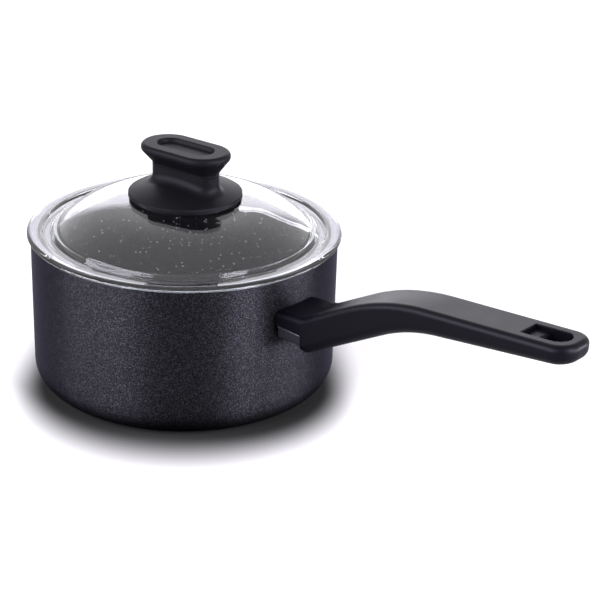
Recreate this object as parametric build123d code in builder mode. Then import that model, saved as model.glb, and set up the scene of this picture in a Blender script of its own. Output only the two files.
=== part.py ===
"""A saucepan with a long handle and a pressed glass lid.

Millimetres. The pan's axis is Z, the surface it stands on is Z = 0, and the handle points along +X.
The vessel, the handle and what joins them are one rigid body. The lid is the other, lifted straight up.
"""

import os

from build123d import *
from math import cos, pi, radians, sin, sqrt, tan

os.makedirs("parts", exist_ok=True)

# ---- Vessel: deep-drawn aluminium, coated inside and out ----
pan_inner_radius = 90.0
pan_height = 93.5
pan_wall = 3.0
pan_base_thickness = 4.5
pan_corner_radius = 13.0
pan_rim_round = 1.2
pan_base_lift = 0.3  # the aluminium stands this far above the hob, on the steel disc

# ---- Steel disc pressed into the underside, for induction hobs ----
disc_radius = 70.0
disc_thickness = 1.2
disc_clearance = 0.2
disc_hole_radius = 2.5
disc_ring_count = 3
disc_ring_pitch = 15.0
disc_ring_margin = 10.0  # from the disc's rim to its outermost ring of holes
disc_hole_spacing = 14.0  # along each ring

# ---- Boss welded to the wall, and the stainless strap screwed on top of it ----
strap_drop = 27.9  # from the pan's rim down to the boss's top, where the strap lies
boss_width = 27.6
boss_end_gap = 0.5  # between the boss and the handle's full-height body
boss_height = 7.7
boss_edge_round = 1.6
boss_wall_gap = 0.05
strap_thickness = 1.4
strap_root_width = 31.6
strap_root_end_gap = 1.4  # between the strap's wide root and the handle's body
strap_wall_gap = 0.6
strap_tongue_width = 20.0
strap_bend_inset = 3.6  # from the start of the handle's body to the bend
strap_bend_radius = 6.0
strap_tongue_length = 37.0  # beyond the bend
strap_screw_reach = 8.5
strap_screw_spacing = 14.0
strap_screw_shank_radius = 1.95
strap_screw_length = 6.0
strap_screw_head_radius = 3.6
strap_screw_head_height = 2.2
strap_screw_head_round = 0.7

# ---- Handle: one phenolic moulding ----
grip_wall_gap = 0.4
hood_height = 8.6  # above the strap, at the wall
hood_slope = 5.4  # degrees
hood_half_width = 16.4
hood_shell = 2.6
hood_seat_gap = 0.1  # between the hood's rim and the strap
body_start_reach = 18.4  # from the wall to the handle's full-height body
body_half_width = 17.2
lobe_drop = 2.0  # below the boss
lobe_front_round = 0.8
lobe_round = 5.0
rise_angle = 29.0  # degrees
rise_top_reach = 18.3
rise_top_round = 14.0
crest_reach = 72.5
crest_round = 136.0
run_slope = 5.1  # degrees
under_turn_advance = 17.4  # the underside turns this far beyond the crest
run_under_round = 105.0
run_thickness = 15.4  # measured straight down, where the underside levels out
tip_reach = 190.8
tip_thickness = 10.7
waist_advance = 11.5  # the waist lies this far beyond the crest
waist_half_width = 14.6
tip_half_width = 13.9
tip_round = 11.6
grip_top_round = 3.4
grip_under_round = 5.8
body_corner_round = 25.0
waist_round = 220.0

# ---- Hanging slot through the handle's end ----
slot_width = 14.0
slot_length = 25.6
slot_end_margin = 7.1  # from the slot's round end to the handle's tip
ledge_length = 9.6
ledge_depth = 2.6
ledge_lip_round = 2.4
slot_edge_round = 0.5

# ---- What fastens the handle to the strap ----
strap_slot_clearance = 0.3
handle_screw_along = 24.0  # beyond the strap's bend
handle_screw_radius = 2.45
handle_screw_hole_clearance = 0.3
handle_screw_head_radius = 4.4
handle_screw_head_height = 3.0
handle_screw_head_round = 1.0
handle_screw_sink = 5.2
handle_screw_past_nut = 0.8
handle_nut_across_flats = 8.0
handle_nut_thickness = 4.0
handle_nut_clearance = 0.4
handle_washer_radius = 5.0
handle_washer_thickness = 1.0
bore_clearance = 0.05  # between a thread and its screw, and round a pressed insert

# ---- Lid: thick pressed glass, with a flat flange, a trough and a dome ----
lid_overhang = 2.1  # past the pan's wall
lid_gap = 0.3  # between the flange and the pan's rim
flange_thickness = 2.6
flange_width = 8.9
trough_slope_width = 1.2
trough_width = 3.7
trough_depth = 1.3
shoulder_slope_width = 2.3
shoulder_width = 1.5
shoulder_height = 0.7  # above the flange's top
dome_crown_radius = 300.0  # of the dome's curve over its middle
dome_crown_reach = 42.0  # from the axis to where the dome turns down more tightly
dome_turn_radius = 62.0  # of its curve from there to the shoulder
dome_thickness = 4.0
plug_clearance = 1.6  # between the plug and the pan's wall
plug_draft = 0.6
plug_depth = 4.0
glass_round = 1.0
lid_hole_radius = 4.2

# ---- Knob: a round skirt with an oval stem, and an oval grip on top ----
knob_turn = 6.9  # degrees, between the knob's long axis and the handle
skirt_radius = 34.4
skirt_rise = 5.6  # from the skirt's rim up to its middle
skirt_thickness = 3.0
skirt_rim_thickness = 2.2
skirt_edge_round = 0.9
foot_inset = 0.8  # the foot under the skirt's rim is this much smaller
foot_width = 1.8
foot_height = 1.0
foot_seat_gap = 0.1  # between the foot and the glass
stem_relief = 0.6  # between the stem and the glass
stem_length = 47.2
stem_width = 15.6
stem_fillet = 5.5
stem_height = 15.05  # from the glass's crown to the seam between base and grip
seam_chamfer = 0.35
spigot_length = 34.0
spigot_width = 9.0
spigot_height = 2.0
spigot_clearance = 0.15
grip_neck_height = 1.7
grip_neck_round = 2.4
grip_flare_height = 8.5
grip_length = 59.4
grip_width = 33.6
grip_edge_height = 3.9
grip_edge_top_round = 2.5
grip_edge_under_round = 2.6
pocket_length = 39.8
pocket_width = 16.2
pocket_depth = 2.5
pocket_taper = 26.0  # degrees
pocket_edge_round = 1.0
pocket_floor_round = 1.0

# ---- What clamps the knob to the glass ----
bushing_wall = 1.2
bushing_flange_radius = 9.0
bushing_flange_thickness = 1.0
bushing_clearance = 0.1
gasket_radius = 11.0
gasket_thickness = 1.2
lid_washer_radius = 10.0
lid_washer_thickness = 1.0
knob_screw_radius = 2.45
knob_screw_head_radius = 4.6
knob_screw_head_height = 2.8
knob_screw_head_round = 0.9
knob_screw_hole_clearance = 0.3
knob_screw_into_insert = 7.0
insert_radius = 3.8
insert_length = 8.0
insert_rib_count = 12
insert_rib_radius = 0.35
drive_recess_width = 1.1
drive_recess_share = 0.62  # of the screw head's radius
drive_recess_depth = 1.6

# ---- Limits used only to pick faces and edges ----
touching = 0.01  # two places nearer than this are the same place
close_by = 1.0  # an edge's middle moves less than this when a neighbour is rounded
facing = 0.5  # a face looks along an axis if its normal has more than this share of it

# ---- Worked out from the sizes above ----
pan_outer_radius = pan_inner_radius + pan_wall
boss_top = pan_height - strap_drop
boss_bottom = boss_top - boss_height
boss_reach = body_start_reach - boss_end_gap
strap_top = boss_top + strap_thickness
strap_middle = boss_top + strap_thickness / 2
strap_root_reach = body_start_reach - strap_root_end_gap
strap_bend_x = pan_outer_radius + body_start_reach + strap_bend_inset
hood_underside = strap_top + hood_seat_gap
hood_top_at_wall = strap_top + hood_height
lobe_bottom = boss_bottom - lobe_drop
body_start = pan_outer_radius + body_start_reach
grip_tip = pan_outer_radius + tip_reach
lid_radius = pan_outer_radius + lid_overhang
flange_inner_radius = lid_radius - flange_width
trough_outer_radius = flange_inner_radius - trough_slope_width
trough_inner_radius = trough_outer_radius - trough_width
shoulder_radius = trough_inner_radius - shoulder_slope_width
dome_edge_radius = shoulder_radius - shoulder_width
flange_underside = pan_height + lid_gap
flange_top = flange_underside + flange_thickness
shoulder_top = flange_top + shoulder_height
turn_centre_reach = dome_crown_reach * (1 - dome_turn_radius / dome_crown_radius)
turn_edge_reach = dome_edge_radius - turn_centre_reach
turn_centre = shoulder_top - sqrt(dome_turn_radius**2 - turn_edge_reach**2)
centre_distance = dome_crown_radius - dome_turn_radius
crown_centre = turn_centre - sqrt(centre_distance**2 - turn_centre_reach**2)
plug_top_radius = pan_inner_radius - plug_clearance
plug_bottom_radius = plug_top_radius - plug_draft
plug_bottom = flange_underside - plug_depth
plug_inner_reach = sqrt((dome_turn_radius - dome_thickness) ** 2 - (plug_bottom - turn_centre) ** 2)
plug_inner_radius = turn_centre_reach + plug_inner_reach


def crown_end(offset):
    """Distance from the axis at which a face parallel to the dome starts to turn down."""
    return (dome_crown_radius + offset) * dome_crown_reach / dome_crown_radius


def dome_height(offset, distance):
    """Height, at a distance from the axis, of a face that lies an offset outside the dome."""
    if distance < crown_end(offset):
        return crown_centre + sqrt((dome_crown_radius + offset) ** 2 - distance**2)
    turn_radius = dome_turn_radius + offset
    return turn_centre + sqrt(turn_radius**2 - (distance - turn_centre_reach) ** 2)


def dome_arc(offset, near, far):
    """Arc in the lid's section along a face parallel to the dome, between two distances."""
    places = (near, (near + far) / 2, far)
    ThreePointArc(*[(place, dome_height(offset, place)) for place in places])


def publish(piece, name):
    """Labels a finished piece and writes it to its own file."""
    piece.label = name
    export_step(piece, f"parts/{name}.step")


# ================= Pan =================

# Vessel: flat base with a shallow recess, rolled corner, straight wall and rounded rim.
with BuildPart() as pan_body:
    with BuildSketch(Plane.XZ):
        with BuildLine():
            Polyline(
                (0, pan_base_lift),
                (pan_outer_radius, pan_base_lift),
                (pan_outer_radius, pan_height),
                (pan_inner_radius, pan_height),
                (pan_inner_radius, pan_base_lift + pan_base_thickness),
                (0, pan_base_lift + pan_base_thickness),
                close=True,
            )
        make_face()
        rim_points = vertices().group_by(Axis.Y)[-1]
        fillet(rim_points, pan_rim_round)
        outer_corner = vertices().group_by(Axis.Y)[0].sort_by(Axis.X)[-1]
        fillet(outer_corner, pan_corner_radius)
        inner_corner = vertices().sort_by_distance(
            (pan_inner_radius, pan_base_lift + pan_base_thickness)
        )[0]
        fillet(inner_corner, pan_corner_radius - pan_wall)
    revolve(axis=Axis.Z)
    with BuildSketch(Plane.XY):
        Circle(disc_radius + disc_clearance)
    extrude(amount=disc_thickness, mode=Mode.SUBTRACT)
publish(pan_body.part, "pan_body")

# Steel disc: the holes lie on rings, as many on each as its length gives room for.
with BuildPart() as base_disc:
    with BuildSketch():
        Circle(disc_radius)
        for ring in range(disc_ring_count):
            ring_radius = disc_radius - disc_ring_margin - ring * disc_ring_pitch
            ring_holes = int(2 * pi * ring_radius / disc_hole_spacing)
            with PolarLocations(ring_radius, ring_holes):
                Circle(disc_hole_radius, mode=Mode.SUBTRACT)
    extrude(amount=disc_thickness)
publish(base_disc.part, "base_disc")

# ================= Handle and its fixings =================

wall_point = pan_outer_radius
rise = radians(rise_angle)
run = radians(run_slope)

# The strap's middle plane inside the handle, with the handle screw's axis as its normal.
tongue_plane = Plane(
    origin=(
        strap_bend_x + handle_screw_along * cos(rise),
        0,
        strap_middle + handle_screw_along * sin(rise),
    ),
    x_dir=(cos(rise), 0, sin(rise)),
    z_dir=(-sin(rise), 0, cos(rise)),
)

# Boss: a short aluminium bar whose end follows the wall it is welded to.
with BuildPart() as handle_boss:
    with BuildSketch(Plane.XY.offset(boss_bottom)):
        with Locations((wall_point, 0)):
            Rectangle(2 * boss_reach, boss_width)
        Circle(pan_outer_radius + boss_wall_gap, mode=Mode.SUBTRACT)
    extrude(amount=boss_height)
    lower_edges = edges().group_by(Axis.Z)[0].filter_by(Axis.X)
    fillet(lower_edges, boss_edge_round)
    with Locations(Plane.XY.offset(boss_top)):
        with Locations((wall_point + strap_screw_reach, 0)):
            with GridLocations(0, strap_screw_spacing, 1, 2):
                Hole(strap_screw_shank_radius + bore_clearance, depth=strap_screw_length)
publish(handle_boss.part, "handle_boss")


def strap_outline(margin, headroom=0.0):
    """Corners of the bent strap seen from the side, grown by a margin, with headroom above."""
    below = strap_thickness / 2 + margin
    above = strap_thickness / 2 + margin + headroom
    along = Vector(cos(rise), 0) + Vector(0, sin(rise))
    square = Vector(-sin(rise), cos(rise))
    bend = Vector(strap_bend_x, strap_middle)
    end = bend + along * (strap_tongue_length + margin)
    start_x = wall_point + strap_wall_gap if margin == 0 else wall_point + strap_root_reach
    return [
        (start_x, strap_middle - below),
        (strap_bend_x + below * tan(rise / 2), strap_middle - below),
        tuple(end - square * below)[:2],
        tuple(end + square * above)[:2],
        (strap_bend_x - above * tan(rise / 2), strap_middle + above),
        (start_x, strap_middle + above),
    ]


# Strap: flat on the boss, then bent up inside the handle; narrower where the handle covers it.
with BuildPart() as handle_strap:
    with BuildSketch(Plane.XZ):
        with BuildLine():
            Polyline(*strap_outline(0), close=True)
        make_face()
        low_bend, high_bend = (strap_outline(0)[index] for index in (1, 4))
        fillet(vertices().sort_by_distance(low_bend)[0], strap_bend_radius)
        fillet(vertices().sort_by_distance(high_bend)[0], strap_bend_radius + strap_thickness)
    extrude(amount=strap_root_width, both=True)
    with BuildSketch(Plane.XY):
        with Locations((wall_point, 0)):
            Rectangle(2 * strap_root_reach, strap_root_width)
        with Locations((wall_point + grip_tip / 2, 0)):
            Rectangle(grip_tip, strap_tongue_width)
        Circle(pan_outer_radius + strap_wall_gap, mode=Mode.SUBTRACT)
    extrude(amount=2 * pan_height, mode=Mode.INTERSECT)
    with Locations(Plane.XY.offset(strap_top)):
        with Locations((wall_point + strap_screw_reach, 0)):
            with GridLocations(0, strap_screw_spacing, 1, 2):
                Hole(strap_screw_shank_radius + bore_clearance, depth=2 * strap_thickness)
    with Locations(tongue_plane.offset(strap_thickness / 2)):
        Hole(handle_screw_radius + bore_clearance, depth=2 * strap_thickness)
publish(handle_strap.part, "handle_strap")


def cross_cutter(head_radius):
    """The shape that sinks a cross-shaped driver recess into a screw head's face."""
    with BuildPart() as cutter:
        with BuildSketch():
            Rectangle(2 * drive_recess_share * head_radius, drive_recess_width)
            Rectangle(drive_recess_width, 2 * drive_recess_share * head_radius)
        extrude(amount=drive_recess_depth, both=True)
    return cutter.part


strap_screw_cutter = cross_cutter(strap_screw_head_radius)
handle_screw_cutter = cross_cutter(handle_screw_head_radius)
knob_screw_cutter = cross_cutter(knob_screw_head_radius)

# Two screws hold the strap down on the boss.
with BuildPart() as strap_screws:
    with Locations(Plane.XY.offset(strap_top)):
        with Locations((wall_point + strap_screw_reach, 0)):
            with GridLocations(0, strap_screw_spacing, 1, 2):
                Cylinder(
                    strap_screw_head_radius,
                    strap_screw_head_height,
                    align=(Align.CENTER, Align.CENTER, Align.MIN),
                )
                Cylinder(
                    strap_screw_shank_radius,
                    strap_screw_length,
                    align=(Align.CENTER, Align.CENTER, Align.MAX),
                )
    head_tops = edges().filter_by(GeomType.CIRCLE).group_by(Axis.Z)[-1]
    fillet(head_tops, strap_screw_head_round)
    with Locations(Plane.XY.offset(strap_top + strap_screw_head_height)):
        with Locations((wall_point + strap_screw_reach, 0)):
            with GridLocations(0, strap_screw_spacing, 1, 2):
                add(strap_screw_cutter, mode=Mode.SUBTRACT)
publish(strap_screws.part, "strap_screws")

# Corners of the handle seen from the side: x is the distance from the pan's axis, y the height.
hood_rise = tan(radians(hood_slope))
inside_wall = wall_point - pan_wall
rise_top = Vector(wall_point + rise_top_reach, hood_top_at_wall + rise_top_reach * hood_rise)
crest_run = crest_reach - rise_top_reach
crest = rise_top + Vector(crest_run, crest_run * tan(rise))
tip_run = tip_reach - crest_reach
tip_top = crest + Vector(tip_run, tip_run * tan(run))
under_turn_x = crest.X + under_turn_advance
under_turn_y = crest.Y + (under_turn_x - crest.X) * tan(run) - run_thickness
under_turn = Vector(under_turn_x, under_turn_y)
lobe_end = Vector(under_turn.X - (under_turn.Y - lobe_bottom) / tan(rise), lobe_bottom)
waist_x = crest.X + waist_advance

# Slot for the hanging hook, on a plane that lies along the handle's end.
slot_start_x = grip_tip - slot_end_margin - slot_length
slot_start_top = crest.Y + (slot_start_x - crest.X) * tan(run)
slot_plane = Plane(
    origin=(slot_start_x, 0, slot_start_top),
    x_dir=(cos(run), 0, sin(run)),
    z_dir=(-sin(run), 0, cos(run)),
)


def slot_sketch(start):
    """A slot with a square end at a distance along the slot plane and a round far end."""
    straight = slot_length - slot_width / 2
    with Locations(((start + straight) / 2, 0)):
        Rectangle(straight - start, slot_width)
    with Locations((straight, 0)):
        Circle(slot_width / 2)


with BuildPart() as handle_grip:
    # The side view, as wide as the handle, then trimmed to the shape seen from above.
    with BuildSketch(Plane.XZ):
        with BuildLine():
            Polyline(
                (inside_wall, hood_top_at_wall - pan_wall * hood_rise),
                (rise_top.X, rise_top.Y),
                (crest.X, crest.Y),
                (tip_top.X, tip_top.Y),
                (tip_top.X, tip_top.Y - tip_thickness),
                (under_turn.X, under_turn.Y),
                (lobe_end.X, lobe_end.Y),
                (body_start, lobe_bottom),
                (body_start, hood_underside),
                (inside_wall, hood_underside),
                close=True,
            )
        make_face()
        for corner, radius in (
            (rise_top, rise_top_round),
            (crest, crest_round),
            (under_turn, run_under_round),
            (lobe_end, lobe_round),
        ):
            fillet(vertices().sort_by_distance((corner.X, corner.Y))[0], radius)
    extrude(amount=2 * body_half_width, both=True)
    with BuildSketch(Plane.XY):
        with BuildLine():
            Polyline(
                (inside_wall, 0),
                (inside_wall, hood_half_width),
                (body_start, body_half_width),
                (waist_x, waist_half_width),
                (grip_tip, tip_half_width),
                (grip_tip, 0),
                close=True,
            )
        make_face()
        mirror(about=Plane.XZ)
        for corner, radius in (
            ((body_start, body_half_width), body_corner_round),
            ((waist_x, waist_half_width), waist_round),
            ((grip_tip, tip_half_width), tip_round),
        ):
            for side in (1, -1):
                spot = (corner[0], side * corner[1])
                fillet(vertices().sort_by_distance(spot)[0], radius)
    extrude(amount=2 * tip_top.Y, mode=Mode.INTERSECT)

    # Rounding: the top's edges first, then the underside's, then the lobe's front edge.
    upright = faces().filter_by(lambda face: abs(face.normal_at().Z) < touching)
    outside = upright.filter_by(lambda face: face.center().X > body_start + touching)
    hood_sides = upright.filter_by(lambda face: face.center().X < body_start - touching)
    hood_sides = hood_sides.filter_by(lambda face: abs(face.normal_at().Y) > facing)
    rim_edges = (outside + hood_sides).edges()
    top_faces = faces().filter_by(lambda face: face.normal_at().Z > facing)
    top_edges = [edge for edge in top_faces.edges() if edge in rim_edges]
    under_faces = faces().filter_by(lambda face: face.normal_at().Z < -facing)
    under_faces = under_faces.filter_by(lambda face: face.center().X > body_start)
    under_middles = [edge.center() for edge in under_faces.edges() if edge in rim_edges]
    fillet(top_edges, grip_top_round)
    under_edges = [
        edge
        for edge in edges()
        if any((edge.center() - spot).length < close_by for spot in under_middles)
    ]
    fillet(under_edges, grip_under_round)
    front = faces().filter_by(Plane.YZ)
    front = front.filter_by(lambda face: abs(face.center().X - body_start) < touching)
    front_edges = front.edges().filter_by(
        lambda edge: edge.center().Z < lobe_bottom + grip_under_round
    )
    fillet(front_edges, lobe_front_round)

    # The end at the wall follows the vessel, and the hood is hollow over the boss.
    Cylinder(
        pan_outer_radius + grip_wall_gap,
        2 * pan_height,
        align=(Align.CENTER, Align.CENTER, Align.MIN),
        mode=Mode.SUBTRACT,
    )
    hood_length = body_start_reach - hood_shell
    with BuildSketch(Plane.XY.offset(hood_underside)):
        with Locations((wall_point + hood_length / 2, 0)):
            Rectangle(hood_length, 2 * (hood_half_width - hood_shell))
    extrude(amount=hood_top_at_wall - hood_shell - hood_underside, mode=Mode.SUBTRACT)

    # Slot for the strap, a channel over it for the nut, and the handle screw's stepped hole.
    channel_headroom = handle_nut_thickness + handle_screw_past_nut
    for headroom, width in (
        (0, strap_tongue_width + 2 * strap_slot_clearance),
        (channel_headroom, handle_nut_across_flats + 2 * handle_nut_clearance),
    ):
        with BuildSketch(Plane.XZ):
            with BuildLine():
                Polyline(*strap_outline(strap_slot_clearance, headroom), close=True)
            make_face()
        extrude(amount=width / 2, both=True, mode=Mode.SUBTRACT)
    to_underside = (under_turn - Vector(strap_bend_x, strap_middle)).dot(
        Vector(-sin(rise), cos(rise))
    )
    underside_plane = tongue_plane.offset(to_underside)
    with Locations(underside_plane):
        for radius, length in (
            (handle_screw_radius, 2 * abs(to_underside)),
            (handle_washer_radius, 2 * handle_screw_sink),
        ):
            Cylinder(radius + handle_screw_hole_clearance, length, mode=Mode.SUBTRACT)

    # Hanging slot: a shallow ledge at its square end, then right through.
    with BuildSketch(slot_plane.offset(-ledge_depth)):
        slot_sketch(0)
    extrude(amount=tip_thickness, mode=Mode.SUBTRACT)
    with BuildSketch(slot_plane):
        slot_sketch(ledge_length)
    extrude(amount=2 * tip_thickness, both=True, mode=Mode.SUBTRACT)
    slot_middle = slot_plane.origin + slot_plane.x_dir * (slot_length / 2)
    slot_mouth = edges().filter_by(
        lambda edge: abs(slot_plane.to_local_coords(edge.center()).Z) < touching
        and (edge.center() - slot_middle).length < slot_length / 2 + touching
    )
    lip_place = slot_plane.from_local_coords((ledge_length, 0, -ledge_depth))
    fillet(edges().sort_by_distance(lip_place)[0], ledge_lip_round)
    fillet(slot_mouth, slot_edge_round)
publish(handle_grip.part, "handle_grip")

# Distances along the handle screw's axis, counted up from the strap's middle plane.
washer_seat = to_underside + handle_screw_sink
screw_head_top = washer_seat - handle_washer_thickness
nut_seat = strap_thickness / 2
screw_end = nut_seat + handle_nut_thickness + handle_screw_past_nut

with BuildPart() as handle_washer:
    with BuildSketch(tongue_plane.offset(washer_seat)):
        Circle(handle_washer_radius)
        Circle(handle_screw_radius + handle_screw_hole_clearance, mode=Mode.SUBTRACT)
    extrude(amount=-handle_washer_thickness)
publish(handle_washer.part, "handle_washer")

with BuildPart() as handle_screw:
    with BuildSketch(tongue_plane.offset(screw_head_top)):
        Circle(handle_screw_head_radius)
    extrude(amount=-handle_screw_head_height)
    screw_axis = Axis(tongue_plane.origin, tongue_plane.z_dir)
    head_rim = edges().filter_by(GeomType.CIRCLE).sort_by(screw_axis)[0]
    fillet(head_rim, handle_screw_head_round)
    with BuildSketch(tongue_plane.offset(screw_head_top)):
        Circle(handle_screw_radius)
    extrude(amount=screw_end - screw_head_top)
    with Locations(tongue_plane.offset(screw_head_top - handle_screw_head_height)):
        add(handle_screw_cutter, mode=Mode.SUBTRACT)
publish(handle_screw.part, "handle_screw")

with BuildPart() as handle_nut:
    with BuildSketch(tongue_plane.offset(nut_seat)):
        RegularPolygon(handle_nut_across_flats / 2, 6, major_radius=False)
        Circle(handle_screw_radius + bore_clearance, mode=Mode.SUBTRACT)
    extrude(amount=handle_nut_thickness)
publish(handle_nut.part, "handle_nut")

# ================= Lid =================

# Glass: revolved from its section, read from the hole outwards over the top and back underneath.
with BuildPart() as lid_glass:
    with BuildSketch(Plane.XZ):
        with BuildLine():
            edge_radius = flange_thickness / 2
            edge_centre = lid_radius - edge_radius
            dome_arc(0, lid_hole_radius, dome_crown_reach)
            dome_arc(0, dome_crown_reach, dome_edge_radius)
            Polyline(
                (dome_edge_radius, shoulder_top),
                (shoulder_radius, shoulder_top),
                (trough_inner_radius, flange_top - trough_depth),
                (trough_outer_radius, flange_top - trough_depth),
                (flange_inner_radius, flange_top),
                (edge_centre, flange_top),
            )
            ThreePointArc(
                (edge_centre, flange_top),
                (lid_radius, flange_top - edge_radius),
                (edge_centre, flange_underside),
            )
            Polyline(
                (edge_centre, flange_underside),
                (plug_top_radius, flange_underside),
                (plug_bottom_radius, plug_bottom),
                (plug_inner_radius, plug_bottom),
            )
            dome_arc(-dome_thickness, plug_inner_radius, crown_end(-dome_thickness))
            dome_arc(-dome_thickness, crown_end(-dome_thickness), lid_hole_radius)
            Line(
                (lid_hole_radius, dome_height(-dome_thickness, lid_hole_radius)),
                (lid_hole_radius, dome_height(0, lid_hole_radius)),
            )
        make_face()
        for corner in (
            (shoulder_radius, shoulder_top),
            (trough_inner_radius, flange_top - trough_depth),
            (trough_outer_radius, flange_top - trough_depth),
            (flange_inner_radius, flange_top),
            (plug_top_radius, flange_underside),
            (plug_bottom_radius, plug_bottom),
            (plug_inner_radius, plug_bottom),
        ):
            fillet(vertices().sort_by_distance(corner)[0], glass_round)
    revolve(axis=Axis.Z)
publish(lid_glass.part, "lid_glass")

# Bushing: a silicone sleeve in the glass's hole, with a flange that lies under the knob.
glass_top = dome_height(0, lid_hole_radius)
glass_under = dome_height(-dome_thickness, gasket_radius)
bushing_seat = glass_top + bushing_clearance
bushing_top = bushing_seat + bushing_flange_thickness
bushing_outer = lid_hole_radius - bushing_clearance
bushing_bore = bushing_outer - bushing_wall
gasket_top = glass_under - bushing_clearance
washer_top = gasket_top - gasket_thickness
screw_seat = washer_top - lid_washer_thickness

with BuildPart() as lid_bushing:
    with BuildSketch(Plane.XY.offset(gasket_top)):
        Circle(bushing_outer)
    extrude(amount=bushing_top - gasket_top)
    with BuildSketch(Plane.XY.offset(bushing_seat)):
        Circle(bushing_flange_radius)
    extrude(amount=bushing_flange_thickness)
    with Locations((0, 0, bushing_top)):
        Hole(bushing_bore, depth=2 * (bushing_top - gasket_top))
publish(lid_bushing.part, "lid_bushing")

with BuildPart() as lid_gasket:
    with BuildSketch(Plane.XY.offset(washer_top)):
        Circle(gasket_radius)
        Circle(bushing_bore, mode=Mode.SUBTRACT)
    extrude(amount=gasket_thickness)
publish(lid_gasket.part, "lid_gasket")

with BuildPart() as lid_washer:
    with BuildSketch(Plane.XY.offset(screw_seat)):
        Circle(lid_washer_radius)
        Circle(knob_screw_radius + knob_screw_hole_clearance, mode=Mode.SUBTRACT)
    extrude(amount=lid_washer_thickness)
publish(lid_washer.part, "lid_washer")

# Heights in the knob, from the seam between base and grip.
stem_top = dome_height(0, 0) + stem_height
neck_top = stem_top + grip_neck_height
plate_bottom = neck_top + grip_flare_height
grip_top = plate_bottom + grip_edge_height
insert_bottom = stem_top + spigot_height + spigot_clearance
knob_screw_end = insert_bottom + knob_screw_into_insert

# Skirt and stem: a thin skirt whose foot lies on the glass, and a stem that stops just above it.
foot_outer = skirt_radius - foot_inset
foot_inner = foot_outer - foot_width
skirt_rim_bottom = dome_height(foot_seat_gap, foot_outer) + foot_height
skirt_rim_top = skirt_rim_bottom + skirt_rim_thickness
skirt_curve = (skirt_radius**2 + skirt_rise**2) / (2 * skirt_rise)


def on_skirt(distance):
    """Height of the skirt's top, an arc of radius skirt_curve, at a distance from the axis."""
    return skirt_rim_top + skirt_rise - skirt_curve + sqrt(skirt_curve**2 - distance**2)


with BuildPart() as knob_base:
    with BuildSketch(Plane.XY.offset(stem_top)):
        SlotOverall(stem_length, stem_width, rotation=knob_turn)
    extrude(amount=dome_height(0, stem_length / 2) - stem_top)
    with Locations((0, 0, crown_centre)):
        Sphere(dome_crown_radius + stem_relief, mode=Mode.SUBTRACT)
    with BuildSketch(Plane.XZ):
        with BuildLine():
            top_arc = ThreePointArc(
                (0, on_skirt(0)),
                (skirt_radius / 2, on_skirt(skirt_radius / 2)),
                (skirt_radius, skirt_rim_top),
            )
            Polyline(
                top_arc @ 1,
                (skirt_radius, skirt_rim_bottom),
                (foot_outer, skirt_rim_bottom),
                (foot_outer, dome_height(foot_seat_gap, foot_outer)),
                (foot_inner, dome_height(foot_seat_gap, foot_inner)),
                (foot_inner, on_skirt(foot_inner) - skirt_thickness),
            )
            under_arc = ThreePointArc(
                (foot_inner, on_skirt(foot_inner) - skirt_thickness),
                (foot_inner / 2, on_skirt(foot_inner / 2) - skirt_thickness),
                (0, on_skirt(0) - skirt_thickness),
            )
            Line(under_arc @ 1, top_arc @ 0)
        make_face()
        skirt_edge = vertices().sort_by_distance((skirt_radius, skirt_rim_top))[0]
        fillet(skirt_edge, skirt_edge_round)
    revolve(axis=Axis.Z)
    stem_foot = edges().filter_by(
        lambda edge: on_skirt(stem_length / 2) - touching < edge.center().Z < on_skirt(0)
        and edge.bounding_box().size.Z > touching
    )
    fillet(stem_foot, stem_fillet)
    chamfer(edges().group_by(Axis.Z)[-1], seam_chamfer)
    with BuildSketch(Plane.XY.offset(stem_top)):
        SlotOverall(spigot_length, spigot_width, rotation=knob_turn)
    extrude(amount=spigot_height)
    with Locations((0, 0, bushing_top + bushing_clearance)):
        Cylinder(
            bushing_flange_radius + bushing_clearance,
            dome_thickness,
            align=(Align.CENTER, Align.CENTER, Align.MAX),
            mode=Mode.SUBTRACT,
        )
    with Locations((0, 0, stem_top + spigot_height)):
        Hole(knob_screw_radius + knob_screw_hole_clearance)
publish(knob_base.part, "knob_base")

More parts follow.
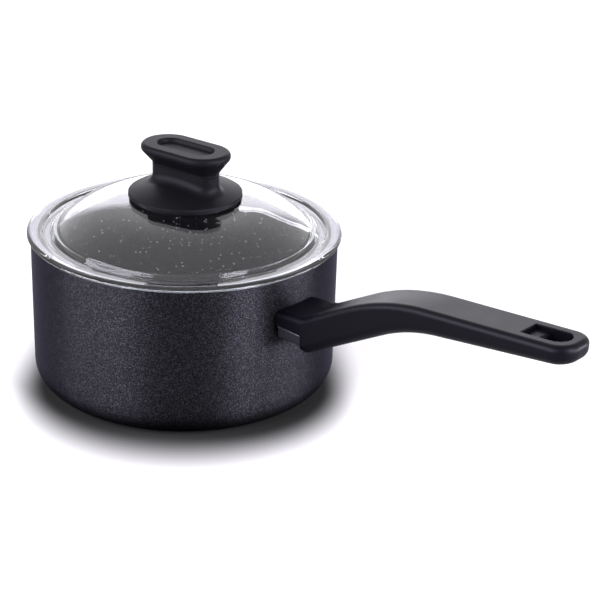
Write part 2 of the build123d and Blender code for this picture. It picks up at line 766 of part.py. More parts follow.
# Grip: a neck that carries on the stem's outline, flares out, and ends in a hollowed oval plate.
with BuildPart() as knob_grip:
    with BuildSketch(Plane.XY.offset(stem_top)):
        SlotOverall(stem_length, stem_width, rotation=knob_turn)
    extrude(amount=grip_neck_height)
    chamfer(edges().group_by(Axis.Z)[0], seam_chamfer)
    with BuildSketch(Plane.XY.offset(neck_top)):
        SlotOverall(stem_length, stem_width, rotation=knob_turn)
    with BuildSketch(Plane.XY.offset(plate_bottom)):
        SlotOverall(grip_length, grip_width, rotation=knob_turn)
    loft()
    with BuildSketch(Plane.XY.offset(plate_bottom)):
        SlotOverall(grip_length, grip_width, rotation=knob_turn)
    extrude(amount=grip_edge_height)
    fillet(edges().group_by(Axis.Z)[-1], grip_edge_top_round)
    plate_edge = edges().filter_by(
        lambda edge: abs(edge.bounding_box().max.Z - plate_bottom) < touching
        and edge.bounding_box().size.Z < touching
    )
    fillet(plate_edge, grip_edge_under_round)
    neck_edge = edges().filter_by(
        lambda edge: abs(edge.center().Z - neck_top) < touching
        and edge.bounding_box().size.Z < touching
    )
    fillet(neck_edge, grip_neck_round)
    with BuildSketch(Plane.XY.offset(grip_top)):
        SlotOverall(pocket_length, pocket_width, rotation=knob_turn)
    extrude(amount=-pocket_depth, taper=pocket_taper, mode=Mode.SUBTRACT)
    level_edges = edges().filter_by(lambda edge: edge.bounding_box().size.Z < touching)
    pocket_edges = level_edges.filter_by(
        lambda edge: (edge.center() - Vector(0, 0, edge.center().Z)).length < pocket_length / 2
    )
    pocket_floor = pocket_edges.filter_by(
        lambda edge: abs(edge.center().Z - grip_top + pocket_depth) < touching
    )
    fillet(pocket_floor, pocket_floor_round)
    pocket_mouth = edges().filter_by(
        lambda edge: abs(edge.bounding_box().min.Z - grip_top) < touching
        and abs(edge.center().Y) < pocket_width / 2 + pocket_edge_round
    )
    fillet(pocket_mouth, pocket_edge_round)
    with BuildSketch(Plane.XY.offset(stem_top)):
        SlotOverall(
            spigot_length + 2 * spigot_clearance,
            spigot_width + 2 * spigot_clearance,
            rotation=knob_turn,
        )
    extrude(amount=spigot_height + spigot_clearance, mode=Mode.SUBTRACT)
    with Locations((0, 0, insert_bottom)):
        Cylinder(
            insert_radius + insert_rib_radius + bore_clearance,
            insert_length,
            align=(Align.CENTER, Align.CENTER, Align.MIN),
            mode=Mode.SUBTRACT,
        )
publish(knob_grip.part, "knob_grip")

# Threaded brass insert, with ribs that hold it in the grip.
with BuildPart() as knob_insert:
    with BuildSketch(Plane.XY.offset(insert_bottom)):
        Circle(insert_radius)
        with PolarLocations(insert_radius, insert_rib_count):
            Circle(insert_rib_radius)
        Circle(knob_screw_radius + bore_clearance, mode=Mode.SUBTRACT)
    extrude(amount=insert_length)
publish(knob_insert.part, "knob_insert")

with BuildPart() as knob_screw:
    with BuildSketch(Plane.XY.offset(screw_seat)):
        Circle(knob_screw_head_radius)
    extrude(amount=-knob_screw_head_height)
    fillet(edges().group_by(Axis.Z)[0], knob_screw_head_round)
    with BuildSketch(Plane.XY.offset(screw_seat)):
        Circle(knob_screw_radius)
    extrude(amount=knob_screw_end - screw_seat)
    with Locations((0, 0, screw_seat - knob_screw_head_height)):
        add(knob_screw_cutter, mode=Mode.SUBTRACT)
publish(knob_screw.part, "knob_screw")
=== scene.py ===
# %% [markdown]
# # A saucepan with a pressed glass lid
#
# The object is a small deep saucepan. Its vessel is drawn aluminium with a dark flecked coating,
# its cranked handle and its knob are black phenolic mouldings, and its lid is thick pressed glass.
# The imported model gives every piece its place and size. This script gives the pieces their looks.
# Everything is in metres, the pan's axis is Z, and the handle points along +X.

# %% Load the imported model
import bmesh
import bpy
from math import cos, pi, radians, sin, sqrt, tan
from mathutils import Matrix, Vector


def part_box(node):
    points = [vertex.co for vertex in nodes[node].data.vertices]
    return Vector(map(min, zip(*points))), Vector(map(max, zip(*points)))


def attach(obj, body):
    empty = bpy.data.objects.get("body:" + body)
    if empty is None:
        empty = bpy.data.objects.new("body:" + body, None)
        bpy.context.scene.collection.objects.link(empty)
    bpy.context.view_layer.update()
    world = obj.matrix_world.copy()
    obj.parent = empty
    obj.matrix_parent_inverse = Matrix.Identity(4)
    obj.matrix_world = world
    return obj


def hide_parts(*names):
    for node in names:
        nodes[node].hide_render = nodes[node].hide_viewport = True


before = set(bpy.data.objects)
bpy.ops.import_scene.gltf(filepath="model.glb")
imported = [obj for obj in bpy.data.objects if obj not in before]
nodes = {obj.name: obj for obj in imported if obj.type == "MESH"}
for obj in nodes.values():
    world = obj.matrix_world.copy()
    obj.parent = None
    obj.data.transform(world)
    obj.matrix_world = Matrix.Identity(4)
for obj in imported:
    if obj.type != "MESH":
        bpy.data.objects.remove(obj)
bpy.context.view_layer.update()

millimetre = 0.001

# %% [markdown]
# ## The view
#
# A three-quarter view from above shows the lid, the wall and the whole handle. The camera stands
# low enough for the wall to show, with the handle coming forward to the right. It could be aimed
# with a Track To constraint, but a matrix made from the line of sight and a roll angle needs no
# target object.

# %% Camera
camera_spot = Vector((0.6414, -0.6091, 0.4491))
sight_azimuth = radians(131.86)
sight_drop = radians(24.37)
camera_roll = radians(2.12)
lens_length = 93.72
sensor_width = 36.0

sight = Vector((
    cos(sight_azimuth) * cos(sight_drop), sin(sight_azimuth) * cos(sight_drop), -sin(sight_drop)
))
level_right = sight.cross(Vector((0, 0, 1))).normalized()
level_up = level_right.cross(sight)
right = cos(camera_roll) * level_right + sin(camera_roll) * level_up
upward = cos(camera_roll) * level_up - sin(camera_roll) * level_right

camera_data = bpy.data.cameras.new("camera")
camera_data.lens = lens_length
camera_data.sensor_width = sensor_width
camera = bpy.data.objects.new("camera", camera_data)
camera.matrix_world = Matrix((
    (right.x, upward.x, -sight.x, camera_spot.x),
    (right.y, upward.y, -sight.y, camera_spot.y),
    (right.z, upward.z, -sight.z, camera_spot.z),
    (0, 0, 0, 1),
))
bpy.context.scene.collection.objects.link(camera)
bpy.context.scene.camera = camera
print("camera stands", round(camera_spot.length, 3), "m from the pan's foot")

# %% [markdown]
# ## Helpers for materials
#
# Each finish is a node tree with one Principled shader. The trees could be clicked together in the
# editor, but short helpers build them and keep them readable: one starts a material, one adds a
# node, one joins two sockets, and a few make the nodes that nearly every finish needs.

# %% Material helpers


def new_material(name, **values):
    """A material with one Principled shader, whose sockets take the values given by name."""
    material = bpy.data.materials.new(name)
    material.use_nodes = True
    for socket, value in values.items():
        shader_of(material).inputs[socket.replace("_", " ")].default_value = value
    return material


def shader_of(material):
    """The Principled shader of a material."""
    return material.node_tree.nodes["Principled BSDF"]


def add_node(owner, kind, **settings):
    """A node of a kind, with its settings, or its input sockets where the name is one."""
    node = owner.node_tree.nodes.new(kind)
    for name, value in settings.items():
        socket_name = name.replace("_", " ")
        if socket_name in node.inputs:
            node.inputs[socket_name].default_value = value
        else:
            setattr(node, name, value)
    return node


def join(owner, source, target):
    """Joins an output socket to an input socket."""
    owner.node_tree.links.new(source, target)


def object_coordinates(material):
    """The socket that gives a point's place on the piece, in metres."""
    return add_node(material, "ShaderNodeTexCoord").outputs["Object"]


def clad(piece, material):
    """Gives a piece one material in every slot."""
    slots = piece.material_slots
    if not slots:
        piece.data.materials.append(material)
    for material_slot in slots:
        material_slot.link = "OBJECT"
        material_slot.material = material


# %% Node helpers


def maths(owner, operation, *values):
    """The output of a Math node, whose inputs are numbers or sockets."""
    node = add_node(owner, "ShaderNodeMath", operation=operation)
    for socket, value in zip(node.inputs, values):
        if isinstance(value, (int, float)):
            socket.default_value = value
        else:
            join(owner, value, socket)
    return node.outputs[0]


def mapped(material, source, source_range, result_range, smooth=False):
    """The output of a Map Range node, which takes a range of a socket to a range of results."""
    node = add_node(material, "ShaderNodeMapRange")
    if smooth:
        node.interpolation_type = "SMOOTHSTEP"
    limits = (*source_range, *result_range)
    for name, limit in zip(("From Min", "From Max", "To Min", "To Max"), limits):
        node.inputs[name].default_value = limit
    join(material, source, node.inputs["Value"])
    return node.outputs["Result"]


def mixed(material, share, first, second):
    """The output of a Mix node that goes from a first colour to a second with a socket's share."""
    node = add_node(material, "ShaderNodeMix", data_type="RGBA")
    node.inputs["A"].default_value = (*first, 1)
    node.inputs["B"].default_value = (*second, 1)
    join(material, share, node.inputs["Factor"])
    return node.outputs["Result"]


def noise(material, place, size, detail):
    """The output of a noise whose lumps are about a size across."""
    node = add_node(material, "ShaderNodeTexNoise", Scale=1 / size, Detail=detail)
    join(material, place, node.inputs["Vector"])
    return node.outputs["Fac"]


def random_cells(material, place, size):
    """The distance from the middle of cells of a size, and the random numbers of each cell."""
    cells = add_node(material, "ShaderNodeTexVoronoi", Scale=1 / size)
    join(material, place, cells.inputs["Vector"])
    numbers = add_node(material, "ShaderNodeSeparateColor")
    join(material, cells.outputs["Color"], numbers.inputs["Color"])
    return cells.outputs["Distance"], numbers.outputs


print("helpers are ready for", len(nodes), "nodes")

# %% [markdown]
# ## Coating of the vessel
#
# The pan is sprayed with a dark charcoal coating that holds fine metallic flakes. From a distance
# it reads as a soft grey, and close to it sparkles. The flakes could be particles, but there are far
# too many of them. Small Voronoi cells do it in the material: about three cells in ten are paler,
# and a fine noise breaks up the rest. The wall under the coating was turned on a lathe, whose fine
# grooves run round the axis and draw the highlights out up and down the wall. That takes a tangent
# round the axis and a quarter turn. Where the wall rolls under to the foot, the coating's colour is
# darkened: a painted shade for the little light that reaches the foot close to the floor.

# %% Flecked coating
flake_size = 0.45 * millimetre
flake_share = 0.3
flake_brightness = 2.6
grain_size = 0.6 * millimetre
grain_detail = 3.0
grain_middle = (0.3, 0.7)
grain_levels = (0.25, 1.65)
# painted shade: the coating's colour darkens toward the foot, below these heights
foot_shade_heights = (3.0 * millimetre, 21.0 * millimetre)
foot_shade_level = 0.12
coating_colour = (0.0154, 0.0151, 0.0186)
quarter_turn = 0.25

coating = new_material(
    "flecked_coating", Metallic=1.0, Roughness=0.49, Anisotropic=0.84,
    Anisotropic_Rotation=quarter_turn, Specular_Tint=(0.7, 0.68, 0.8, 1),
)
coating_place = object_coordinates(coating)
around = add_node(coating, "ShaderNodeVectorMath", operation="CROSS_PRODUCT")
around.inputs[0].default_value = (0, 0, 1)
join(coating, coating_place, around.inputs[1])
join(coating, around.outputs["Vector"], shader_of(coating).inputs["Tangent"])

flake_numbers = random_cells(coating, coating_place, flake_size)[1]
flakes = mapped(coating, flake_numbers["Red"], (1 - flake_share, 1), (0, flake_brightness))
grain = noise(coating, coating_place, grain_size, grain_detail)
mottle = mapped(coating, grain, grain_middle, grain_levels)
coating_axes = add_node(coating, "ShaderNodeSeparateXYZ")
join(coating, coating_place, coating_axes.inputs["Vector"])
# painted shade, darkest where the wall rolls under to the foot
painted_foot_shade = mapped(coating, coating_axes.outputs["Z"], foot_shade_heights, (foot_shade_level, 1), smooth=True)
coating_level = maths(coating, "MULTIPLY", maths(coating, "ADD", mottle, flakes), painted_foot_shade)
coating_shade = add_node(coating, "ShaderNodeVectorMath", operation="SCALE")
coating_shade.inputs[0].default_value = coating_colour
join(coating, coating_level, coating_shade.inputs["Scale"])
join(coating, coating_shade.outputs["Vector"], shader_of(coating).inputs["Base Color"])
print("coating has", len(coating.node_tree.nodes), "nodes")

# %% [markdown]
# ## Lining of the vessel
#
# The inside has a smoother non-stick lining, with pale specks that are larger and farther apart.
# Each speck is the middle of a Voronoi cell, cut off where the distance from it grows. A random
# number of the cell dims it, so that some specks are bright and some hardly show.

# %% Speckled lining
speck_spacing = 3.4 * millimetre
speck_edge = (0.22, 0.12)
lining_colour = (0.010, 0.010, 0.0125)
speck_colour = (0.42, 0.42, 0.47)

lining = new_material("speckled_lining", Roughness=0.45, Specular_IOR_Level=0.15)
lining_place = object_coordinates(lining)
speck_distance, speck_numbers = random_cells(lining, lining_place, speck_spacing)
specks = mapped(lining, speck_distance, speck_edge, (0, 1))
specks = maths(lining, "MULTIPLY", specks, speck_numbers["Green"])
lining_shade = mixed(lining, specks, lining_colour, speck_colour)
join(lining, lining_shade, shader_of(lining).inputs["Base Color"])
print("lining has", len(lining.node_tree.nodes), "nodes")

# %% [markdown]
# ## Phenolic of the handle and the knob
#
# Phenolic is a hard black plastic that comes from its mould with a fine matte grain. Its sheen is
# broad and grey on top and nearly black on the sides. An image of real grain could be wrapped round
# it, but a small noise gives the grain without any seams, and a larger one gives the slight
# unevenness of the gloss that hands leave. The silicone washers and the paint of the boss have the
# same kind of surface, so one function makes all four.

# %% Phenolic
pore_width = 0.5 * millimetre
pore_detail = 2.0
pore_depth = 0.03 * millimetre
pore_strength = 0.2
pore_contrast = 0.2
wear_width = 18 * millimetre
wear_detail = 4.0
wear_range = 0.05


def scaled(colour, factor):
    """A colour with every part of it multiplied."""
    return [factor * part for part in colour]


def phenolic(name, base, roughness, level):
    """A moulded plastic with a fine grain."""
    material = new_material(name, Specular_IOR_Level=level, Specular_Tint=(0.88, 0.87, 1.0, 1))
    place = object_coordinates(material)
    pores = noise(material, place, pore_width, pore_detail)
    wear = noise(material, place, wear_width, wear_detail)
    gloss = mapped(material, wear, (0, 1), (roughness - wear_range, roughness + wear_range))
    join(material, gloss, shader_of(material).inputs["Roughness"])
    darker = scaled(base, 1 - pore_contrast)
    paler = scaled(base, 1 + pore_contrast)
    join(material, mixed(material, pores, darker, paler), shader_of(material).inputs["Base Color"])
    bump = add_node(material, "ShaderNodeBump", Strength=pore_strength, Distance=pore_depth)
    join(material, pores, bump.inputs["Height"])
    join(material, bump.outputs["Normal"], shader_of(material).inputs["Normal"])
    return material


# %% Mouldings, silicone and paint
handle_finish = phenolic("handle_phenolic", (0.001, 0.0009, 0.0024), roughness=0.41, level=0.115)
knob_finish = phenolic("knob_phenolic", (0.0042, 0.0041, 0.0052), roughness=0.45, level=0.07)
silicone_finish = phenolic("silicone", (0.03, 0.03, 0.033), roughness=0.55, level=0.2)
boss_finish = phenolic("boss_paint", (0.012, 0.0118, 0.015), roughness=0.5, level=0.2)
moulded = {
    "handle_grip": handle_finish,
    "knob_base": knob_finish,
    "knob_grip": knob_finish,
    "lid_bushing": silicone_finish,
    "lid_gasket": silicone_finish,
    "handle_boss": boss_finish,
}
for name, finish in moulded.items():
    clad(nodes[name], finish)
print("moulded finishes on", ", ".join(moulded))

# %% [markdown]
# ## Metals
#
# The strap is polished stainless steel, the fixings are plated steel, the disc under the pan is
# brushed steel and the insert is turned brass. Metals differ in colour and in how sharp their
# reflections are, so one function makes them all. A noise that is stretched along X stands for the
# streaks that grinding and brushing leave.

# %% Metals
streak_width = 0.3 * millimetre
streak_detail = 2.0
gloss_variation = 0.3
streak_darkness = 0.92


def metal(name, base, roughness, streak_length):
    """A metal whose gloss varies in fine streaks along X."""
    material = new_material(name, Metallic=1.0)
    stretch = add_node(material, "ShaderNodeMapping")
    stretch.inputs["Scale"].default_value = (1 / streak_length, 1 / streak_width, 1 / streak_width)
    join(material, object_coordinates(material), stretch.inputs["Vector"])
    streaks = noise(material, stretch.outputs["Vector"], 1.0, streak_detail)
    sharpest = roughness * (1 - gloss_variation)
    dullest = roughness * (1 + gloss_variation)
    gloss = mapped(material, streaks, (0, 1), (sharpest, dullest))
    join(material, gloss, shader_of(material).inputs["Roughness"])
    colour = mixed(material, streaks, scaled(base, streak_darkness), base)
    join(material, colour, shader_of(material).inputs["Base Color"])
    return material


# %% Metal pieces
long_streak = 6 * millimetre
short_streak = 1 * millimetre
disc_streak = 0.5 * millimetre
strap_finish = metal("stainless_steel", (0.72, 0.72, 0.74), 0.18, long_streak)
fixing_finish = metal("plated_steel", (0.62, 0.62, 0.64), 0.3, short_streak)
brass_finish = metal("turned_brass", (0.75, 0.55, 0.27), 0.25, short_streak)
disc_finish = metal("disc_steel", (0.60, 0.60, 0.61), 0.32, disc_streak)
fixings = ("strap_screws", "handle_screw", "handle_nut", "handle_washer", "lid_washer", "knob_screw")
clad(nodes["handle_strap"], strap_finish)
clad(nodes["base_disc"], disc_finish)
clad(nodes["knob_insert"], brass_finish)
for fixing in fixings:
    clad(nodes[fixing], fixing_finish)
print("plated steel on", ", ".join(fixings))

# %% [markdown]
# ## Spun shapes
#
# The vessel and the lid are round, so each is a section spun about the axis. A section is a list of
# (distance from the axis, height), with arcs where the real piece is round. The Screw modifier could
# turn it, but the spin operator gives a finished mesh whose doubles and normals are put right at once.

# %% Spun shapes
weld_distance = 0.002 * millimetre


def squashed_arc(centre, wide, high, start, end, steps):
    """Points on part of an ellipse in the section plane, from one angle to another in degrees."""
    angles = [radians(start + (end - start) * step / steps) for step in range(steps + 1)]
    return [(centre[0] + wide * cos(angle), centre[1] + high * sin(angle)) for angle in angles]


def arc(centre, radius, start, end, steps):
    """Points along an arc in the section plane, from one angle to another in degrees."""
    return squashed_arc(centre, radius, radius, start, end, steps)


def finished_piece(name, shape):
    """An object in the scene that holds a bmesh, which is used up."""
    mesh = bpy.data.meshes.new(name)
    shape.to_mesh(mesh)
    shape.free()
    piece = bpy.data.objects.new(name, mesh)
    bpy.context.scene.collection.objects.link(piece)
    print(name, "has", len(mesh.polygons), "faces")
    return piece


def spin_section(name, section, steps, closed):
    """A piece made by spinning a section of (distance from the axis, height) about Z."""
    shape = bmesh.new()
    corners = [shape.verts.new((distance, 0, height)) for distance, height in section]
    sides = list(zip(corners, corners[1:]))
    if closed:
        sides.append((corners[-1], corners[0]))
    edges = [shape.edges.new(side) for side in sides]
    bmesh.ops.spin(
        shape, geom=corners + edges, cent=(0, 0, 0), axis=(0, 0, 1), angle=2 * pi, steps=steps,
        use_merge=True,
    )
    bmesh.ops.remove_doubles(shape, verts=shape.verts, dist=weld_distance)
    bmesh.ops.recalc_face_normals(shape, faces=shape.faces)
    for face in shape.faces:
        face.smooth = True
    return finished_piece(name, shape)


def paint_faces(piece, material, inside):
    """Gives a second material to the faces whose distance from the axis and height are inside."""
    piece.data.materials.append(material)
    painted = 0
    for face in piece.data.polygons:
        if inside(sqrt(face.center.x**2 + face.center.y**2), face.center.z):
            face.material_index = 1
            painted += 1
    print(material.name, "covers", painted, "faces of", piece.name)


# %% [markdown]
# ## Vessel
#
# The vessel is one spun shape: a flat base with a recess for the steel disc, a rolled corner, a
# straight wall and a rounded rim. It is spun in many steps, so that the long reflections on the wall
# have no facets. The faces that look inwards take the lining.

# %% Vessel
vessel_low, vessel_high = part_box("pan_body")
disc_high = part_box("base_disc")[1]
vessel_radius = vessel_high[0]
wall_thickness = 3.0 * millimetre
floor_thickness = 4.5 * millimetre
corner_radius = 13.0 * millimetre
rim_radius = 1.2 * millimetre
recess_gap = 0.2 * millimetre
recess_radius = disc_high[0] + recess_gap
recess_height = disc_high[2]
inner_radius = vessel_radius - wall_thickness
inner_corner = corner_radius - wall_thickness
base_height = vessel_low[2]
rim_height = vessel_high[2]
floor_height = base_height + floor_thickness
vessel_steps = 240
corner_steps = 16
rim_steps = 6

corner_height = base_height + corner_radius
rim_middle = rim_height - rim_radius
inner_corner_height = floor_height + inner_corner
vessel_section = (
    [(0, recess_height), (recess_radius, recess_height), (recess_radius, base_height)]
    + arc((vessel_radius - corner_radius, corner_height), corner_radius, -90, 0, corner_steps)
    + arc((vessel_radius - rim_radius, rim_middle), rim_radius, 0, 90, rim_steps)
    + arc((inner_radius + rim_radius, rim_middle), rim_radius, 90, 180, rim_steps)
    + arc((inner_radius - inner_corner, inner_corner_height), inner_corner, 0, -90, corner_steps)
    + [(0, floor_height)]
)
vessel = spin_section("vessel", vessel_section, vessel_steps, closed=False)
clad(vessel, coating)

face_margin = 0.01 * millimetre
paint_faces(
    vessel, lining,
    lambda reach, height: reach < inner_radius + face_margin and height > floor_height - face_margin,
)
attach(vessel, "pan")
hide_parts("pan_body")

# %% [markdown]
# ## Glass
#
# Clear glass hardly colours the light, but its rounded edge is looked at along the sheet, through
# centimetres of it, and turns blue-grey there. A volume inside the glass would do that by itself and
# takes long to render, so the edge has a second glass with a deeper colour instead. That colour is
# also darker than the tint alone: a painted shade for the dark line that the edge shows where it
# bends in light from a dim room, which the white world here doesn't hold.

# %% Glass


def pressed_glass(name, colour):
    """A clear glass of a colour."""
    return new_material(
        name, Roughness=0.0, IOR=1.5, Transmission_Weight=1.0, Base_Color=(*colour, 1),
        Specular_Tint=(0.97, 0.955, 1.0, 1),
    )


glass = pressed_glass("clear_glass", (0.965, 0.975, 1.0))
# the edge glass: the glass's own tint, deepened by painted shade for the edge's dark outline
glass_edge_tint_and_shade = pressed_glass("glass_edge_tint_and_shade", (0.74, 0.79, 0.86))
print("glass bends light by", shader_of(glass).inputs["IOR"].default_value)

# %% [markdown]
# ## Lid
#
# The lid is pressed glass, thick enough for its edge to catch light: a flat flange that lies on the
# rim, a trough, a raised shoulder and a shallow dome. The dome is a flat crown that turns down
# faster near the shoulder, two arcs that share a tangent. Underneath, a plug keeps the lid centred
# in the pan. Glass shows every facet, so the section has fine arcs at each corner, and the flange
# ends in a quarter of an ellipse above a quarter of a circle.

# %% Lid sizes
lid_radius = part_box("lid_glass")[1][0]
flange_gap = 0.3 * millimetre
flange_thickness = 2.6 * millimetre
flange_underside = rim_height + flange_gap
flange_top = flange_underside + flange_thickness
flange_width = 8.9 * millimetre
trough_depth = 1.3 * millimetre
trough_width = 3.7 * millimetre
trough_slope = 1.2 * millimetre
shoulder_rise = 0.7 * millimetre
shoulder_slope = 2.3 * millimetre
shoulder_width = 1.5 * millimetre
plug_gap = 1.6 * millimetre
plug_taper = 0.6 * millimetre
plug_length = 4.0 * millimetre
dome_crown_radius = 300.0 * millimetre
dome_crown_reach = 42.0 * millimetre
dome_turn_radius = 62.0 * millimetre
dome_thickness = 4.0 * millimetre
hole_radius = 4.2 * millimetre
glass_round = 1.0 * millimetre
edge_reach = 3.6 * millimetre
edge_drop = 1.5 * millimetre
edge_lift = flange_thickness - edge_drop

flange_inner = lid_radius - flange_width
trough_outer = flange_inner - trough_slope
trough_inner = trough_outer - trough_width
shoulder_radius = trough_inner - shoulder_slope
shoulder_top = flange_top + shoulder_rise
dome_edge = shoulder_radius - shoulder_width
turn_centre_reach = dome_crown_reach * (1 - dome_turn_radius / dome_crown_radius)
turn_centre = shoulder_top - sqrt(dome_turn_radius**2 - (dome_edge - turn_centre_reach) ** 2)
arc_difference = dome_crown_radius - dome_turn_radius
crown_centre = turn_centre - sqrt(arc_difference**2 - turn_centre_reach**2)
plug_top = inner_radius - plug_gap
plug_bottom = plug_top - plug_taper
plug_height = flange_underside - plug_length
inner_turn_radius = dome_turn_radius - dome_thickness
plug_inner = turn_centre_reach + sqrt(inner_turn_radius**2 - (plug_height - turn_centre) ** 2)
print("dome turns down to", round(dome_edge / millimetre, 1), "mm from the axis")

# %% Lid curves


def rounded(corners, radius, steps):
    """The corners of a section, each but the first and last turned into an arc of that radius."""
    side_share = 0.45
    points = [corners[0]]
    for before, corner, after in zip(corners, corners[1:], corners[2:]):
        corner_point = Vector(corner)
        side_back = Vector(before) - corner_point
        side_ahead = Vector(after) - corner_point
        back = side_back.normalized()
        ahead = side_ahead.normalized()
        half = back.angle(ahead) / 2
        reach = min(
            radius / tan(half), side_share * side_back.length, side_share * side_ahead.length
        )
        centre = corner_point + (back + ahead).normalized() * (reach / cos(half))
        start = corner_point + back * reach - centre
        end = corner_point + ahead * reach - centre
        for step in range(steps + 1):
            blend = start.lerp(end, step / steps).normalized() * start.length
            points.append(tuple(centre + blend))
    return points + [corners[-1]]


def dome_height(depth, distance):
    """Height, at a distance from the axis, of a face that lies a depth inside the dome's top."""
    crown_radius = dome_crown_radius - depth
    if distance < dome_crown_reach * crown_radius / dome_crown_radius:
        return crown_centre + sqrt(crown_radius**2 - distance**2)
    return turn_centre + sqrt((dome_turn_radius - depth) ** 2 - (distance - turn_centre_reach) ** 2)


def dome_points(depth, near, far, steps):
    """Points on a face parallel to the dome's top, from one distance from the axis to another."""
    distances = [near + (far - near) * step / steps for step in range(steps + 1)]
    return [(distance, dome_height(depth, distance)) for distance in distances]


print("dome is", round(dome_height(0, hole_radius) / millimetre, 1), "mm high at the knob's hole")

# %% Lid
upper_dome_steps = 72
lower_dome_steps = 48
upper_edge_steps = 14
lower_edge_steps = 10
bend_steps = 10
lid_steps = 360

upper_dome = dome_points(0, hole_radius, dome_edge, upper_dome_steps)
upper_steps = rounded(
    [
        upper_dome[-1],
        (shoulder_radius, shoulder_top),
        (trough_inner, flange_top - trough_depth),
        (trough_outer, flange_top - trough_depth),
        (flange_inner, flange_top),
        (lid_radius - edge_reach, flange_top),
    ],
    glass_round, bend_steps,
)
upper_edge_centre = (lid_radius - edge_reach, flange_top - edge_drop)
upper_edge = squashed_arc(upper_edge_centre, edge_reach, edge_drop, 90, 0, upper_edge_steps)
lower_edge_centre = (lid_radius - edge_lift, flange_underside + edge_lift)
lower_edge = arc(lower_edge_centre, edge_lift, 0, -90, lower_edge_steps)
outer_edge = upper_edge + lower_edge[1:]
lower_dome = dome_points(dome_thickness, plug_inner, hole_radius, lower_dome_steps)[1:]
lower_steps = rounded(
    [
        outer_edge[-1],
        (plug_top, flange_underside),
        (plug_bottom, plug_height),
        (plug_inner, plug_height),
        lower_dome[0],
    ],
    glass_round, bend_steps,
)
lid_section = upper_dome + upper_steps[1:] + outer_edge[1:] + lower_steps[1:] + lower_dome[1:]
lid = spin_section("pressed_lid", lid_section, lid_steps, closed=True)
clad(lid, glass)
# the rim faces take the edge glass, partly real tint and partly painted shade
paint_faces(lid, glass_edge_tint_and_shade, lambda reach, height: reach > lid_radius - edge_reach)
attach(lid, "lid")
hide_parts("lid_glass")

# %% [markdown]
# ## Floor
#
# The pan stands on a white sweep, as in a studio, in a soft pool of shade. Lamps alone could make
# the pool, but its width would then hang on every one of them. So the material adds it: an ellipse
# round the foot, turned to the camera, that is dark inside and fades to white. It reaches farther
# behind the pan than in front, and its fade is wider along the line of sight than sideways. The
# floor is white to look at and greyer for the light that it throws back, so that it doesn't light
# the wall from below.

# %% Floor
floor_size = 4.0
shade_centre = (0.0166, -0.0160, 0)
shade_reach = (86.5 * millimetre, 94.5 * millimetre, 1)
shade_back_share = 0.64
shade_width = (0.58, 0.23)
shade_fade = (-0.42, 0.85)
shade_levels = (0.03, 1)
seen_level = 1.03
lamp_level = 0.5

floor_shape = bmesh.new()
bmesh.ops.create_grid(floor_shape, x_segments=1, y_segments=1, size=floor_size)
floor = finished_piece("floor", floor_shape)
floor_finish = new_material("white_floor", Roughness=1.0, Specular_IOR_Level=0.0)
clad(floor, floor_finish)

# %% Shade on the floor
toward_camera = add_node(floor_finish, "ShaderNodeMapping", vector_type="TEXTURE")
toward_camera.inputs["Location"].default_value = shade_centre
toward_camera.inputs["Rotation"].default_value = (0, 0, sight_azimuth + pi)
toward_camera.inputs["Scale"].default_value = shade_reach
join(floor_finish, object_coordinates(floor_finish), toward_camera.inputs["Vector"])
floor_axes = add_node(floor_finish, "ShaderNodeSeparateXYZ")
join(floor_finish, toward_camera.outputs["Vector"], floor_axes.inputs["Vector"])
forward = floor_axes.outputs["X"]
sideways = floor_axes.outputs["Y"]

behind = maths(floor_finish, "MULTIPLY", forward, shade_back_share)
sight_reach = maths(floor_finish, "MAXIMUM", forward, behind)
squares = [maths(floor_finish, "POWER", reach, 2.0) for reach in (sight_reach, sideways)]
reach_square = maths(floor_finish, "ADD", *squares)
sight_share = maths(floor_finish, "DIVIDE", squares[0], reach_square)
wider = shade_width[0] - shade_width[1]
blur = maths(floor_finish, "MULTIPLY_ADD", sight_share, wider, shade_width[1])
past_edge = maths(floor_finish, "SUBTRACT", maths(floor_finish, "SQRT", reach_square), 1.0)
beyond = maths(floor_finish, "DIVIDE", past_edge, blur)
shade = mapped(floor_finish, beyond, shade_fade, shade_levels, smooth=True)
looked_at = add_node(floor_finish, "ShaderNodeLightPath").outputs["Is Camera Ray"]
floor_level = maths(floor_finish, "MULTIPLY_ADD", looked_at, seen_level - lamp_level, lamp_level)
floor_colour = maths(floor_finish, "MULTIPLY", shade, floor_level)
join(floor_finish, floor_colour, shader_of(floor_finish).inputs["Base Color"])
print("floor's shade has", len(floor_finish.node_tree.nodes), "nodes")

# %% [markdown]
# ## World
#
# The world stands for the white walls of the studio. It is white at strength 1 for what looks at it
# directly, through glass or in a reflection, and dimmer as a lamp, so that it doesn't flatten the
# forms. A Light Path node tells the two apart.

# %% World
world_strength = 0.2
world = bpy.data.worlds.new("studio")
bpy.context.scene.world = world
world.use_nodes = True
sky = world.node_tree.nodes["Background"]
sky.inputs["Color"].default_value = (1, 1, 1, 1)
light_path = add_node(world, "ShaderNodeLightPath")
seen = maths(
    world, "MAXIMUM", light_path.outputs["Is Camera Ray"], light_path.outputs["Is Glossy Ray"]
)
seen = maths(world, "MAXIMUM", seen, light_path.outputs["Is Transmission Ray"])
strength = maths(world, "MULTIPLY", seen, 1 - world_strength)
strength = maths(world, "ADD", strength, world_strength)
join(world, strength, sky.inputs["Strength"])
print("world lights the pan with strength", world_strength)

# %% [markdown]
# ## Soft boxes
#
# Three soft boxes light the pan from the sides: a wide one at the left, a narrow bright one at the
# right, and a low one that reaches under the handle. Area lamps do it with less noise than glowing
# panels would. Their azimuth is counted to the left from the camera's line of sight.

# %% Soft boxes
lamp_colour = (0.96, 0.94, 1.0)
lamp_target = Vector((0.05, 0, 0.08))
power_per_radiance = 4


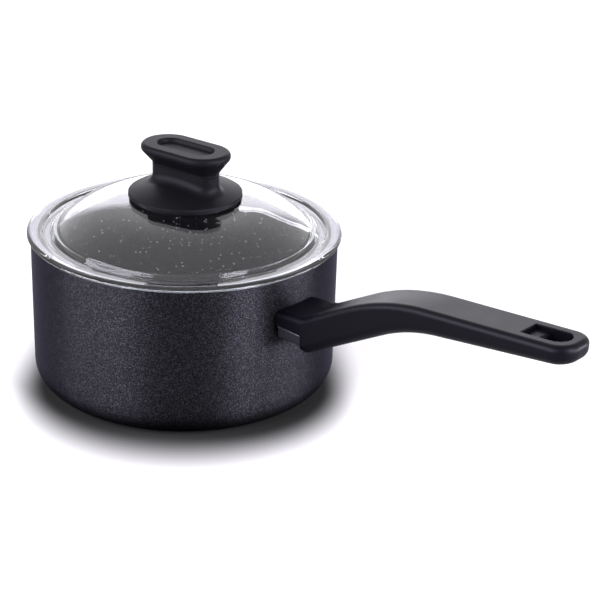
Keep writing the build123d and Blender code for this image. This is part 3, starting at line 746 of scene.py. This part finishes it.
def soft_box(name, azimuth, elevation, distance, width, height, radiance):
    """A soft lamp that faces the pan."""
    data = bpy.data.lights.new(name, "AREA")
    data.shape = "RECTANGLE"
    data.size = width
    data.size_y = height
    data.energy = power_per_radiance * radiance * (width * height)
    data.color = lamp_colour
    lamp = bpy.data.objects.new(name, data)
    turn = sight_azimuth + radians(azimuth)
    rise = radians(elevation)
    direction = Vector((cos(turn) * cos(rise), sin(turn) * cos(rise), sin(rise)))
    lamp.location = lamp_target + direction * distance
    lamp.rotation_euler = direction.to_track_quat("Z", "Y").to_euler()
    lamp.visible_camera = False
    bpy.context.scene.collection.objects.link(lamp)
    print(name, "gives", round(data.energy, 2), "W")


soft_box(
    "left_box", azimuth=120, elevation=22, distance=1.4, width=1.6, height=1.1, radiance=6.5
)
soft_box(
    "right_box", azimuth=-130, elevation=22, distance=1.4, width=0.52, height=1.1, radiance=13.0
)
soft_box(
    "low_box", azimuth=-98, elevation=5, distance=1.3, width=0.9, height=0.34, radiance=16.0
)

# %% [markdown]
# ## Lit sheet
#
# The largest lamp stands behind the pan: a sheet of cloth with rounded corners, lit from behind,
# brightest near its middle and brighter still along its hem. The glass and the tops of the handle
# and the knob mirror it, so its outline shows there. An area lamp can't have round corners or a
# glow that varies, so the sheet is a mesh that gives off light: one face, and a ring of faces
# round it for the hem.

# %% Lit sheet
sheet_distance = 1.55
sheet_left, sheet_right = 1.0, -0.83
sheet_top, sheet_bottom = 0.92, 0.02
sheet_corner = 0.34
sheet_corner_steps = 10
sheet_tilt = 0.06
sheet_hem = 0.06
across = Vector((-sin(sight_azimuth), cos(sight_azimuth), 0))
along = Vector((cos(sight_azimuth), sin(sight_azimuth), 0))
pan_middle = Vector((0.05, 0, 0))
sheet_middle = pan_middle + sheet_distance * along


def sheet_outline(inset):
    """Points round the sheet, an inset inside its edge; its top rises a little to the right."""
    left, right_side = sheet_left - sheet_corner, sheet_right + sheet_corner
    top, bottom = sheet_top - sheet_corner, sheet_bottom + sheet_corner
    middles = ((left, top), (right_side, top), (right_side, bottom), (left, bottom))
    points = []
    for index, middle in enumerate(middles):
        start = 90 * index
        points += arc(middle, sheet_corner - inset, start, start + 90, sheet_corner_steps)
    return [
        sheet_middle + across * reach + Vector((0, 0, height * (1 - sheet_tilt * reach)))
        for reach, height in points
    ]


sheet_shape = bmesh.new()
outer_ring = [sheet_shape.verts.new(point) for point in sheet_outline(0)]
inner_ring = [sheet_shape.verts.new(point) for point in sheet_outline(sheet_hem)]
sheet_shape.faces.new(inner_ring)
for index in range(len(outer_ring)):
    corners = (outer_ring[index - 1], outer_ring[index], inner_ring[index], inner_ring[index - 1])
    sheet_shape.faces.new(corners).material_index = 1
sheet = finished_piece("lit_sheet", sheet_shape)
sheet.visible_camera = False

# %% Glow of the sheet
sheet_radiance = 3.0
hem_gain = 2.2
cloth_shift = -0.12
hem_shift = 0.4
glow_height = 0.5
full_glow_reach = 0.52
dim_glow_reach = 0.98
dim_glow = 0.25


def lit_cloth(name, radiance, shift):
    """A glowing cloth, brightest round a point that lies a shift to the right of its middle."""
    cloth = new_material(name, Roughness=1.0, Specular_IOR_Level=0.0)
    shader_of(cloth).inputs["Base Color"].default_value = (0, 0, 0, 1)
    shader_of(cloth).inputs["Emission Color"].default_value = (*lamp_colour, 1)
    spread = add_node(cloth, "ShaderNodeMapping", vector_type="TEXTURE")
    brightest = sheet_middle - across * shift + Vector((0, 0, glow_height))
    spread.inputs["Location"].default_value = brightest
    join(cloth, object_coordinates(cloth), spread.inputs["Vector"])
    falloff = add_node(cloth, "ShaderNodeTexGradient", gradient_type="SPHERICAL")
    join(cloth, spread.outputs["Vector"], falloff.inputs["Vector"])
    reaches = (1 - dim_glow_reach, 1 - full_glow_reach)
    radiances = (dim_glow * radiance, radiance)
    glow = mapped(cloth, falloff.outputs["Fac"], reaches, radiances, smooth=True)
    join(cloth, glow, shader_of(cloth).inputs["Emission Strength"])
    return cloth


sheet.data.materials.append(lit_cloth("lit_cloth", sheet_radiance, cloth_shift))
sheet.data.materials.append(lit_cloth("lit_hem", hem_gain * sheet_radiance, hem_shift))
print("sheet glows with", sheet_radiance, "and its hem with", hem_gain * sheet_radiance)

# %% [markdown]
# ## Finish
#
# The Standard view shows colours as they are, so that white stays white.

# %% Finish
bpy.context.scene.view_settings.view_transform = "Standard"
